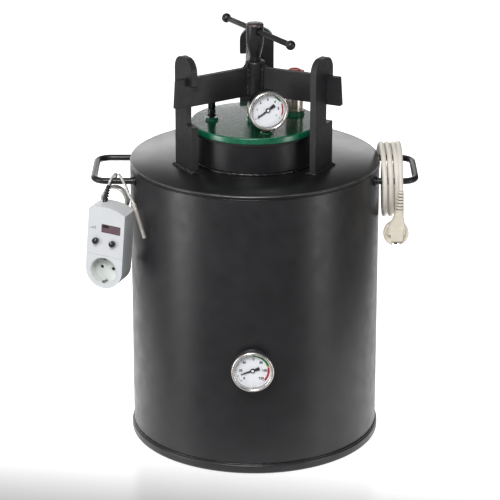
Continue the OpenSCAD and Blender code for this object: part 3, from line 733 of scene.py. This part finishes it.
# ---- lid and its fittings ----
def make_lid():
    r, low, top = LID_R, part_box("lid_plate")[0].z, LID_TOP
    disc = lathe("lid_disc", [(0, low), (r - 2.5 * MM, low), (r - 2.5 * MM, top), (0, top)], steps=192)
    put("lid_disc", disc, "lid", "lid_green", "lid_plate")
    rim = lathe("lid_rim", [(r - 2.6 * MM, low), (r - 0.9 * MM, low), (r, low + 0.9 * MM),
        (r, top - 1.5 * MM), (r - 0.5 * MM, top - 0.5 * MM), (r - 1.5 * MM, top), (r - 2.6 * MM, top)],
        steps=192)
    put("lid_rim", rim, "lid", "rim_green")
    relief, air, gauge = (middle(node) for node in ("relief_valve_body", "air_valve_stem", "gauge_stem"))

    def boss(x, y, *profile):
        return lathe("boss", scaled([(0, 0), *profile], y=top), moved(x, y, 0))

    bosses = [boss(0, 0, (12.8, 0), (12, 1), (12, 7), (11, 8), (0, 8)),
        boss(gauge.x, gauge.y, (9.6, 0), (9, 0.8), (8.4, 1.6), (7.4, 2), (0, 2)),
        boss(relief.x, relief.y, (16.6, 0), (15.5, 1.2), (15.5, 4), (14.5, 5), (0, 5)),
        boss(air.x, air.y, (11, 0), (10, 1), (10, 3.2), (9.2, 4), (0, 4))]
    put("lid_boss_set", joined("bosses", bosses), "lid", "rim_green", "lid_bosses")

    at = moved(relief.x, relief.y, 0)
    body = lathe("relief_cylinder", scaled([(0, 518.5), (12.6, 518.5), (13.5, 519.4), (13.5, 522),
        (12.9, 522.6), (12.9, 523.4), (13.5, 524), (13.5, 558.6), (12.3, 560.4), (7.2, 560.8), (6, 562),
        (6, 567.5), (0, 567.5)]), at)
    put("relief_cylinder", body, "lid", "nickel", "relief_valve_body")
    outline = []
    for k in range(144):
        a = tau * k / 144
        r_here = (15.4 - 1.45 * cos(6 * a)) * MM
        outline.append((r_here * cos(a), r_here * sin(a)))
    grip = plate("grip", outline, 567.8 * MM, 581.8 * MM, 1.5 * MM, at, segments=4, angle=50)
    crown = lathe("crown", scaled([(0, 581), (10.3, 581), (9.6, 582.3), (9.5, 584.6), (8.6, 585.8),
        (6.6, 586), (5.8, 585.4), (0, 585.2)]), at)
    put("relief_grip", joined("grip", [grip, crown]), "relief_knob", "red_plastic", "relief_valve_knob")

    at = moved(air.x, air.y, 0)
    stem = lathe("air_stem", scaled([(0, 517), (4.25, 517), (4.25, 519.2), (6.4, 519.5), (7, 520.2),
        (7, 521.8), (6.3, 522.5), (4.25, 522.7), (4.1, 526), (0, 526)]), at)
    put("air_stem", stem, "lid", "valve_black", "air_valve_stem")
    cap_low, cap_high = (c.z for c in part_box("air_valve_cap"))
    cap = lathe("air_cap_turned", [(0, cap_low), (5.4 * MM, cap_low), (5.9 * MM, cap_low + 0.6 * MM),
        (5.9 * MM, cap_low + 6 * MM), (5.3 * MM, cap_low + 6.8 * MM), (5.3 * MM, cap_low + 7.6 * MM),
        (5.9 * MM, cap_low + 8.4 * MM), (5.9 * MM, cap_high - 2.4 * MM), (5.3 * MM, cap_high - 0.9 * MM),
        (3.6 * MM, cap_high), (0, cap_high)], at)
    put("air_cap_turned", cap, "air_cap", "valve_black", "air_valve_cap")


# ---- dial instruments ----
UVW = Matrix(((0, -1, 0, 0), (1, 0, 0, 0), (0, 0, 1, 0), (0, 0, 0, 1)))


def polar(r, angle):
    a = radians(angle)
    return (r * cos(a), r * sin(a))


def sector(name, r_in, r_out, start, stop, low, high, matrix):
    steps = max(2, int(abs(stop - start) / 2.5))
    outline = [polar(r_in, start + (stop - start) * k / steps) for k in range(steps + 1)]
    outline += [polar(r_out, stop + (start - stop) * k / steps) for k in range(steps + 1)]
    return plate(name, outline, low, high, 0, matrix)


def figures(words, low, matrix, height):
    """Numbers laid on a dial: words is a list of (text, r, angle)."""
    meshes = []
    for text, r, angle in words:
        data = bpy.data.curves.new("number", "FONT")
        data.body = text
        data.size = height
        data.align_x, data.align_y = "CENTER", "CENTER"
        data.extrude = 0.00006
        data.offset = height * 0.04
        holder = add_object("number", data)
        mesh = settled(holder)
        bpy.data.objects.remove(holder)
        x, y = polar(r, angle)
        mesh.transform(matrix @ moved(x, y, low))
        meshes.append(mesh)
    return meshes


def make_dial(prefix, at, face, body, pointer_body, rest, radius, case, bezel, marks, numbers, bands, tip,
        tail):
    """Case, bezel, printed dial and pointer of one instrument, in the CAD's own places."""
    r = radius
    if case:
        low, high, material = case
        mesh = lathe(prefix + "_drum", [(0, low), (r - 5.5 * MM, low), (r - 3.2 * MM, low + 1.2 * MM),
            (r - 2.5 * MM, low + 3 * MM), (r - 2.5 * MM, high), (r - 4 * MM, high),
            (r - 4 * MM, low + 3 * MM), (0, low + 3 * MM)], at)
        put(prefix + "_drum", mesh, body, material, prefix + "_case")
    mesh = lathe(prefix + "_ring", scaled([(-2.5, -3), (-0.7, -3), (0, -2.3), (0, 2.6), (-0.5, 3.9),
        (-1.6, 4.8), (-2.6, 5), (-3.7, 4.6), (-4.7, 3.1), (-5, 2), (-2.5, 2)], x=r, y=face), at,
        steps=128, angle=60)
    put(prefix + "_ring", mesh, body, bezel, prefix + "_bezel")

    print_at = at @ UVW
    low, high = face - 4 * MM, face - 3.86 * MM
    ink = []
    for angle, r_in, r_out, width in marks:
        half = degrees(width / 2 / r_out)
        ink.append(sector("mark", r_in, r_out, angle - half, angle + half, low, high, print_at))
    ink += figures(numbers[0], face - 3.93 * MM, print_at, numbers[1])
    mesh = joined(prefix + "_print", ink)
    put(prefix + "_print", mesh, body, "ink")
    for k, (colour, start, stop, r_in, r_out) in enumerate(bands):
        mesh = sector(prefix + "_band", r_in, r_out, start, stop, low, high + 0.03 * MM, print_at)
        put("%s_band_%d" % (prefix, k), mesh, body, colour)

    arrow = print_at @ turned(rest)
    z = face - 3 * MM
    hand = [(0, 1.5 * MM), (tip * 0.85, 0.8 * MM), (tip, 0.3 * MM), (tip, -0.3 * MM),
        (tip * 0.85, -0.8 * MM), (0, -1.5 * MM), (-tail * 0.3, -1.4 * MM), (-tail * 0.45, -2.1 * MM),
        (-tail, -2.6 * MM), (-tail, 2.6 * MM), (-tail * 0.45, 2.1 * MM), (-tail * 0.3, 1.4 * MM)]
    arrow_mesh = plate("hand", hand, z, z + 0.8 * MM, 0.12 * MM, arrow, segments=2)
    hub = lathe("hub", [(0, face - 7 * MM), (1.2 * MM, face - 7 * MM), (1.2 * MM, z), (3.7 * MM, z),
        (3.7 * MM, z + 1.0 * MM), (3.2 * MM, z + 1.5 * MM), (0, z + 1.6 * MM)], at, steps=40)
    put(prefix + "_hand", joined(prefix + "_hand", [arrow_mesh, hub]), pointer_body, "pointer",
        prefix + "_needle")
    cap = lathe(prefix + "_hub_cap", [(0, z + 1.5 * MM), (1.9 * MM, z + 1.5 * MM),
        (1.8 * MM, z + 1.85 * MM), (0, z + 1.95 * MM)], at, steps=40)
    put(prefix + "_hub_cap", cap, pointer_body, "dial")


def ticks(start, stop, count, every, r_short, r_long, r_out, thin, thick):
    """Marks from start to stop, the long ones every so many."""
    marks = []
    for k in range(count + 1):
        angle = start + (stop - start) * k / count
        long = k % every == 0
        marks.append((angle, r_long if long else r_short, r_out, thick if long else thin))
    return marks


def make_instruments():
    at = facing(mm(18, -68, 551.5), -78)
    numbers = [(str(k), 16.6 * MM, 216 - 42 * k) for k in range(7)]
    make_dial("gauge", at, 12 * MM, "lid", "gauge_pointer", 216, 31 * MM,
        (-14 * MM, 12 * MM, "case_black"), "brushed_steel", ticks(216, -36, 30, 5, 23.0 * MM, 21.4 * MM,
        24.4 * MM, 0.34 * MM, 0.8 * MM), (numbers, 5.4 * MM), [("green_ink", 60, 34, 22.2 * MM,
        24.4 * MM), ("red_ink", 22, -24, 22.2 * MM, 24.4 * MM)], 20 * MM, 13 * MM)
    at = facing(Vector((-3 * MM, -BODY_R, 181.5 * MM)), -90)
    numbers = [(str(20 * k), 18.2 * MM, 225 - 45 * k) for k in range(7)]
    make_dial("thermometer", at, 24 * MM, "root", "thermometer_pointer", 199.5, 32.5 * MM, None,
        "brushed_steel", ticks(225, -45, 60, 5, 24.2 * MM, 22.6 * MM, 25.8 * MM, 0.34 * MM, 0.8 * MM),
        (numbers, 5.4 * MM), [("green_ink", 88, 18, 22.7 * MM, 25.9 * MM),
        ("yellow_ink", 18, 11, 22.7 * MM, 25.9 * MM), ("red_ink", 11, -41, 22.7 * MM, 25.9 * MM)],
        19 * MM, 11 * MM)


# ---- yoke, clamp screw and tommy bar ----
def make_yoke():
    """The cast hub, its three welded arms and the welds between them."""
    rough = lump(11, 90)
    steps, rows, verts = 120, 48, []
    bore = 8.06 * MM
    profile = [(bore, HUB_LOW), (HUB_R - 1.5 * MM, HUB_LOW), (HUB_R - 0.3 * MM, HUB_LOW + 1.2 * MM)]
    for k in range(rows):
        profile.append((HUB_R, HUB_LOW + 2.4 * MM + (HUB_HIGH - HUB_LOW - 4.8 * MM) * k / (rows - 1)))
    profile += [(HUB_R - 0.4 * MM, HUB_HIGH - 1.2 * MM), (HUB_R - 1.7 * MM, HUB_HIGH), (bore, HUB_HIGH)]
    for r, z in profile:
        for k in range(steps):
            a = tau * k / steps
            place = Vector((r * cos(a), r * sin(a), z))
            grow = 0.45 * MM * rough(place) + 0.25 * MM * rough(place * 3) if r > bore else 0
            verts.append((place.x * (1 + grow / r), place.y * (1 + grow / r), z))
    casting = mesh_of("hub_casting", verts, rings(len(profile), steps, closed=True), angle=60)
    put("hub_casting", casting, "yoke", "hub_cast", "yoke_hub")

    half, top = 4 * MM, 599.9 * MM
    outline = [(13 * MM, ARM_LOW), (146 * MM, ARM_LOW), (147 * MM, ARM_LOW + 1.2 * MM),
        (144 * MM, top - 1.2 * MM), (143 * MM, top)]
    outline += arc((HUB_R + 8 * MM, top + 8 * MM), 8 * MM, -90, -180, 10)
    outline += [(13 * MM, top + 8 * MM)]
    arms, welds = [], []
    for seed, angle in enumerate(UPRIGHT_ANGLES):
        turn = turned(angle + ARM_TURN)
        arms.append(plate("arm", outline, -half, half, 0.9 * MM, turn @ turned(90, "X")))
        for side in (-1, 1):
            for k in range(2):
                y, r = side * (half + (0.3 + 1.5 * k) * MM), HUB_R + (1.0 - 1.4 * k) * MM
                rise = HUB_HIGH - HUB_LOW - (9 + 4 * k) * MM
                path = []
                for z in (HUB_LOW + 3 * MM + rise * i / 12 for i in range(13)):
                    path.append(turn @ Vector((r + 0.4 * MM * sin(z * 900 + seed), y, z)))
                welds.append(bead("joint", path, (1.9 - 0.4 * k) * MM, 31 + 2 * seed + side + 9 * k,
                    depth=0.6, sides=10, ripple=0.004))
    arms = joined("yoke_arm_plates", arms)
    put("yoke_arm_plates", arms, "yoke", "plate_paint", "yoke_arms")
    put("hub_welds", joined("hub_welds", welds, 60), "yoke", "hub_cast")


def make_screw():
    """The threaded shank with its swollen head, bored across for the tommy bar."""
    pitch, crest, root = 4 * MM, 7.95 * MM, 6.7 * MM
    low, high, sides = SCREW_LOW + 3 * MM, 551 * MM, 60
    rows = int((high - low) / pitch * 12)
    verts = []
    for i in range(rows + 1):
        z = low + (high - low) * i / rows
        fade = min(1, i / 8)
        for k in range(sides):
            t = (z / pitch - k / sides) % 1
            flank = abs(t - 0.5) * 2
            r = root + (crest - root) * min(1, max(0, flank * 1.35 - 0.15)) * fade
            a = tau * k / sides
            verts.append((r * cos(a), r * sin(a), z))
    thread = mesh_of("thread", verts, rings(rows + 1, sides, caps=True), angle=50)
    foot = lathe("foot", [(0, SCREW_LOW), (5 * MM, SCREW_LOW), (6.6 * MM, SCREW_LOW + 1.8 * MM),
        (6.7 * MM, low + 0.4 * MM), (0, low + 0.4 * MM)], steps=60)
    profile = scaled([(0, 550), (7.95, 550), (7.95, 609.6), (8.7, 609.9), (8.75, 611.1), (8.1, 611.8),
        (8.1, 612.6), (8.9, 613.2), (8.9, 614.4), (8.3, 615), (8.7, 616.2)])
    profile += [(r * MM, z * MM) for r, z in ((9, 617.5), (9.8, 620.5), (11, 624.5), (12.1, 629),
        (12.9, 633.5), (13.35, 638.5), (13.5, 643), (13.5, 664.6), (13.35, 665.9), (12.9, 666.9),
        (12.0, 667.6), (10.4, 668))]
    profile.append((0, SCREW_HIGH))
    shank = lathe("shank", profile, steps=120, angle=30)
    head = add_object("screw_shank", shank, "screw")
    across = moved(0, 0, BAR_Z) @ turned(BAR_TURN) @ turned(90, "Y")
    bore = lathe("bore", scaled([(0, -20), (6.4, -20), (6.4, -13.4), (5.3, -12.2), (5.3, 12.2),
        (6.4, 13.4), (6.4, 20), (0, 20)]), across, steps=64)
    cut(head, [bore])
    mesh = joined("clamp_screw_turned", [head.data.copy(), thread, foot], 40)
    bpy.data.objects.remove(head)
    put("clamp_screw_turned", mesh, "screw", "screw_black", "clamp_screw")
    worn = lathe("worn_rim", scaled([(12.0, 667.55), (12.95, 666.85), (13.4, 665.85), (13.53, 664.9),
        (13.5, 666), (13.1, 667.05), (12.2, 667.8)]), steps=120, angle=60)
    put("worn_rim", worn, "screw", "worn_edge")

    bar_at = turned(BAR_TURN) @ moved(9 * MM, 0, BAR_Z) @ turned(90, "Y")
    half = 95 * MM
    profile = []
    for sign in (-1, 1):
        part = []
        for k in range(15):
            a = radians(-90 + 180 * k / 14 * 0.82)
            part.append((7.5 * MM * cos(a), half + 7.5 * MM * sin(-a)))
        part = [(0, half + 7.5 * MM)] + part[1:] + [(4.5 * MM, half - 7.8 * MM)]
        profile += [(r, -z) for r, z in part] if sign < 0 else [(r, z) for r, z in reversed(part)]
    bar = lathe("tommy_rod", profile, bar_at, steps=48, angle=45)
    put("tommy_rod", bar, "bar", "handle_paint", "tommy_bar")


# ---- plug ----
def make_plug():
    """The moulded plug that hangs from the winding: disc, neck, grip and slotted boot."""
    at = Matrix.Translation(mm(218, -84, 356)) @ turned(90, "X")
    low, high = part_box("plug_body")
    disc = lathe("disc", scaled([(0, -10), (18.2, -10), (19, -9.2), (19, -5.5), (19.6, -5), (19.8, -4),
        (19.8, 0.6), (19.2, 2.1), (18, 2.9), (16.6, 2.6), (15.8, 1.6), (14.6, 1.0), (0, 1.6)]), at,
        steps=96)
    moulding = add_object("plug_moulding", disc, "root")
    paint(moulding, "plug_plastic")
    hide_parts("plug_body")

    def pair(name, x, near, far, low, high, bevel=0):
        """The same block on both sides of the plug's face."""
        return [block(name, (-x, min(s * near, s * far), low), (x, max(s * near, s * far), high), bevel,
            at) for s in (-1, 1)]

    cut(moulding, pair("notch", 5.6, 14.6, 24, -16, 6))
    clips = pair("clip", 2.6, 15.4, 17.6, -9, 1.2, 0.5)
    # dark brown blocks on the inner walls of the plug's notches: painted shade in the recesses
    notch_shades = pair("hollow", 5.6, 14.4, 15.6, -9.4, 0.8)
    put("plug_earth_clips", joined("plug_earth_clips", clips), "root", "clip_metal")
    put("plug_notch_shade", joined("plug_notch_shade", notch_shades), "root", "painted_shade_brown")

    # the neck narrows from the disc up to the boot, and carries the grip
    sections = [(0, 14.6, 6.8, 0), (8, 14.0, 6.7, 0.4), (14, 13.0, 6.6, 1.0), (19, 11.2, 6.4, 1.8),
        (24, 9.2, 6.3, 2.7), (29, 7.8, 6.4, 3.5), (33, 7.3, 6.6, 4.0)]
    verts, sides = [], 40
    for z, wide, deep, shift in sections:
        for k in range(sides):
            a = tau * k / sides
            c, s = cos(a), sin(a)
            power = 0.62
            verts.append(mm(218 + shift + wide * copysign(abs(c) ** power, c),
                -84 - 2.2 + deep * copysign(abs(s) ** power, s), 356 + z))
    neck = mesh_of("neck", verts, rings(len(sections), sides, caps=True), angle=50)
    grip = block("grip", (-8.6, -9.4, 0.8), (10.2, 10.4, 10.8), 1.8, at)
    ribs = [block("rib", (-7.4, -6.6 + 3.4 * k, 10.2), (9, -5.4 + 3.4 * k, 10.99), 0.3,
        at) for k in range(5)]
    mesh = joined("plug_grip", [neck, grip] + ribs, 45)
    put("plug_grip", mesh, "root", "plug_plastic")

    turn, length = along(mm(222, -84, 388), mm(224, -84, 425))
    profile = scaled([(0, 0), (7.3, 0), (7.5, 1.2), (7.4, 3.6)])
    for k in range(6):
        z, r = (4.4 + 5 * k) * MM, (7.3 - 0.36 * k) * MM
        profile += scaled([(-0.25, -0.4), (0, 0.1), (0, 2.5), (-0.25, 2.9), (-1.9, 3.05), (-1.9, 4.3)], r,
            z)
    profile += [(5.1 * MM, 34.2 * MM), (5.0 * MM, length - 0.8 * MM), (4.4 * MM, length), (0, length)]
    boot = lathe("plug_strain_relief", profile, turn, steps=56, angle=30)
    put("plug_strain_relief", boot, "root", "plug_plastic", "plug_boot")
    # dark brown rings at the bottom of the boot's grooves: painted shade standing in for the slots'
    # openings
    slot_shades = []
    for k in range(6):
        z, r = (4.4 + 5 * k) * MM, (7.3 - 0.36 * k) * MM
        slot_shades.append(lathe("slot", scaled([(-2.6, 3.1), (-1.6, 3.1), (-1.6, 4.25), (-2.6, 4.25)], r, z),
            turn, steps=48))
    put("plug_boot_slot_shade", joined("plug_boot_slot_shade", slot_shades), "root", "painted_shade_brown")


# ---- thermostat ----
TH = Matrix.Translation(mm(-230, -110, 346)) @ turned(-21) @ turned(90, "X") @ turned(-4.5)
TH_W, TH_LOW, TH_HIGH, SOCKET_Y = 61, -72, 61, -43.5


def case_outline(inset=0.0):
    """The thermostat's front outline in millimetres: round at the bottom, arched at the top."""
    r = TH_W / 2 - inset
    arch, ax, ay = 66 - inset, -3, TH_HIGH - 66
    bottom = arc((0, TH_LOW + TH_W / 2), r, 180, 360, 40)
    right = ay + sqrt(arch ** 2 - (r - ax) ** 2)
    left = ay + sqrt(arch ** 2 - (-r - ax) ** 2)
    start = degrees(atan2(right - ay, r - ax))
    stop = degrees(atan2(left - ay, -r - ax))
    top = arc((ax, ay), arch, start, stop, 20)
    return [(x * MM, y * MM) for x, y in bottom + top]


def make_thermostat():
    cover = plate("cover", case_outline(), -9.6 * MM, 0, 1.5 * MM, TH, segments=4, angle=40)
    cover = add_object("thermostat_cover", cover, "thermostat")
    paint(cover, "thermostat_white")
    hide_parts("thermostat_front_cover")
    socket_at = TH @ moved(0, SOCKET_Y * MM, 0)
    bore = lathe("bore", scaled([(0, -30), (22.9, -30), (22.9, 5), (0, 5)]), socket_at)
    window = block("window", (-7.4, 19.6, -1.7), (24.4, 33.4, 4), 0, TH)
    # a shallow step runs across the face above the socket
    step = plate("step", [(x * MM, y * MM) for x, y in [(-40, -18.4), (40, -18.4), (40, -17.7),
        (-40, -17.7)]], -0.7 * MM, 3 * MM, 0, TH)
    cut(cover, [bore, window, step])
    shell = plate("shell", case_outline(0.35), -36.9 * MM, -10.0 * MM, 1.7 * MM, TH, segments=4, angle=40)
    boss = lathe("boss", scaled([(0, -50.9), (17, -50.9), (18, -50), (18, -36), (0, -36)]), socket_at)
    mesh = joined("thermostat_back", [shell, boss])
    piece = put("thermostat_back", mesh, "thermostat", "thermostat_grey")
    cut(piece, [lathe("bore", scaled([(0, -19), (23, -19), (23, -6), (0, -6)]), socket_at)])
    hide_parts("thermostat_rear_shell")
    screws = []
    for x, y in ((-22, 40), (22, 40), (-24, -8), (24, -8)):
        here = TH @ moved(x * MM, y * MM, -36.9 * MM)
        screws.append(lathe("screw", scaled([(0, -0.6), (2.2, -0.6), (2.6, -0.2), (2.6, 0.4), (0, 0.4)]),
            here, steps=24))
    put("thermostat_screws", joined("thermostat_screws", screws), "thermostat", "screw_steel")

    cup = lathe("cup", scaled([(0, -18.9), (22.6, -18.9), (22.9, -18.4), (22.9, -0.3), (22.4, 0),
        (21.7, -0.1), (21.0, -1.0), (20.6, -15.6), (20.0, -16), (0, -16)]), socket_at, steps=96)
    cup = add_object("socket_cup", cup, "thermostat")
    paint(cup, "socket_plastic")
    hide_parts("thermostat_socket")
    holes = [lathe("hole", scaled([(0, -18), (2.7, -18), (2.7, -16.4), (3.4, -15.7), (3.4, -14),
        (0, -14)]), socket_at @ moved(s * PIN_REACH * MM, 0, 0), steps=32) for s in (-1, 1)]
    cut(cup, holes)
    # dark discs at the bottom of the pin holes: painted shade standing in for the holes' depth
    hole_shades = [lathe("dark", scaled([(0, -17.95), (2.65, -17.95), (2.65, -17.2), (0, -17.2)]),
        socket_at @ moved(s * PIN_REACH * MM, 0, 0), steps=32) for s in (-1, 1)]
    clips = []
    for s in (-1, 1):
        path = [socket_at @ Vector((0, s * y * MM, z * MM)) for y, z in ((19.9, -15.6), (19.6, -9),
            (18.6, -5.5), (17.4, -3.6), (17.9, -2.2), (19.4, -1.6), (20.4, -2.4))]
        strip, verts = curve_through(path, 4), []
        wide = (socket_at.to_3x3() @ Vector((1, 0, 0))) * 2.1 * MM
        thick = (socket_at.to_3x3() @ Vector((0, -s, 0.4))).normalized() * 0.5 * MM
        for p in strip:
            verts += [p - wide, p + wide, p + wide + thick, p - wide + thick]
        clips.append(mesh_of("clip", verts, rings(len(strip), 4, caps=True), angle=30))
    put("socket_earth_clips", joined("socket_earth_clips", clips), "thermostat", "clip_metal")
    put("socket_hole_shade", joined("socket_hole_shade", hole_shades), "thermostat", "painted_shade_and_display_black")

    glass = block("glass", (-7.2, 19.8, -1.7), (24.2, 33.2, -0.35), 0.5, TH)
    put("display_window", glass, "thermostat", "display", "thermostat_display")
    strip = block("strip", (-5.9, 27.6, -0.5), (4.4, 32.0, -0.28), 0.08, TH)
    put("display_strip", strip, "thermostat", "painted_shade_and_display_black")

    marks = []
    for _, x, _ in KNOBS:
        centre = TH @ moved(x * MM, KNOB_Y * MM, 0)
        for k in range(11):
            angle = 225 - 27 * k
            long = k in (0, 5, 10)
            marks.append(sector("tick", 6.3 * MM, (8.2 if long else 7.3) * MM,
                angle - (2 if long else 1.4), angle + (2 if long else 1.4), -0.2 * MM, 0.06 * MM, centre))
    for k in range(4):
        marks.append(block("bar", (-26 + 2.6 * k, 23, -0.2), (-24.6 + 2.6 * k, 25 + 1.1 * k, 0.06), 0,
            TH))
    put("thermostat_ticks", joined("thermostat_ticks", marks), "thermostat", "grey_ink")

    for name, x, turn in KNOBS:
        at = TH @ moved(x * MM, KNOB_Y * MM, 0)
        outline = []
        for k in range(120):
            a = tau * k / 120
            r = (4.65 + 0.14 * cos(20 * a)) * MM
            outline.append((r * cos(a), r * sin(a)))
        cap = plate("cap", outline, 0.4 * MM, 5.9 * MM, 0.45 * MM, at, segments=3, angle=50)
        post = lathe("post", scaled([(0, -5), (2.5, -5), (2.5, 0.6), (0, 0.6)]), at, steps=32)
        put("knob_" + name, joined("knob_" + name, [cap, post]), name + "_knob", "knob_plastic",
            "thermostat_knob_" + name)
        line = block("line", (-0.35, 0.8, 5.7), (0.35, 4.3, 5.98), 0.05, at @ turned(turn - 90))
        put("knob_line_" + name, line, name + "_knob", "thermostat_white")

    turn, length = along(mm(-230, -80, 408.5), mm(-225, -70, 429))
    profile = scaled([(0, -4), (3.5, -4), (3.5, 0.6)])
    for k in range(5):
        z, r = (1 + 4.4 * k) * MM, (4.6 - 0.2 * k) * MM
        profile += [(r - 1.2 * MM, z), (r - 0.3 * MM, z + 0.6 * MM), (r, z + 1.5 * MM),
            (r - 0.3 * MM, z + 2.4 * MM), (r - 1.2 * MM, z + 3.0 * MM), (2.35 * MM, z + 3.2 * MM),
            (2.35 * MM, z + 4.2 * MM)]
    profile = [(r, z) for r, z in profile if z < length - 1.4 * MM]
    profile += [(2.9 * MM, length - 1.2 * MM), (2.5 * MM, length), (0, length)]
    mesh = lathe("thermostat_cable_boot", profile, turn, steps=40, angle=40)
    put("thermostat_cable_boot", mesh, "thermostat", "relief_rubber", "thermostat_strain_relief")

    turn, length = along(mm(-185.5, -92, 407), mm(-168.5, -109.5, 356))
    rod = lathe("probe_rod", [(0, 5.5 * MM), (2.95 * MM, 5.5 * MM), (2.95 * MM, length - 2 * MM),
        (2.2 * MM, length - 0.6 * MM), (0, length)], turn, steps=48)
    put("probe_rod", rod, "thermostat", "probe_steel", "sensor_probe")
    crimp = lathe("probe_crimp", scaled([(0, 0), (2.6, 0), (3.5, 0.5), (3.75, 1.2), (3.2, 2.0),
        (3.2, 2.6), (3.75, 3.3), (3.75, 5.1), (3.2, 5.9), (0, 6)]), turn, steps=48)
    put("probe_crimp", crimp, "thermostat", "probe_steel")


def main():
    make_materials()
    make_camera()
    lead, sensor = make_cords()
    make_lights()
    make_floor()
    make_vessel()
    make_lid()
    make_instruments()
    make_yoke()
    make_screw()
    make_plug()
    make_thermostat()
    for kind in (bpy.data.meshes, bpy.data.curves):
        for data in list(kind):
            if not data.users:
                kind.remove(data)


main()
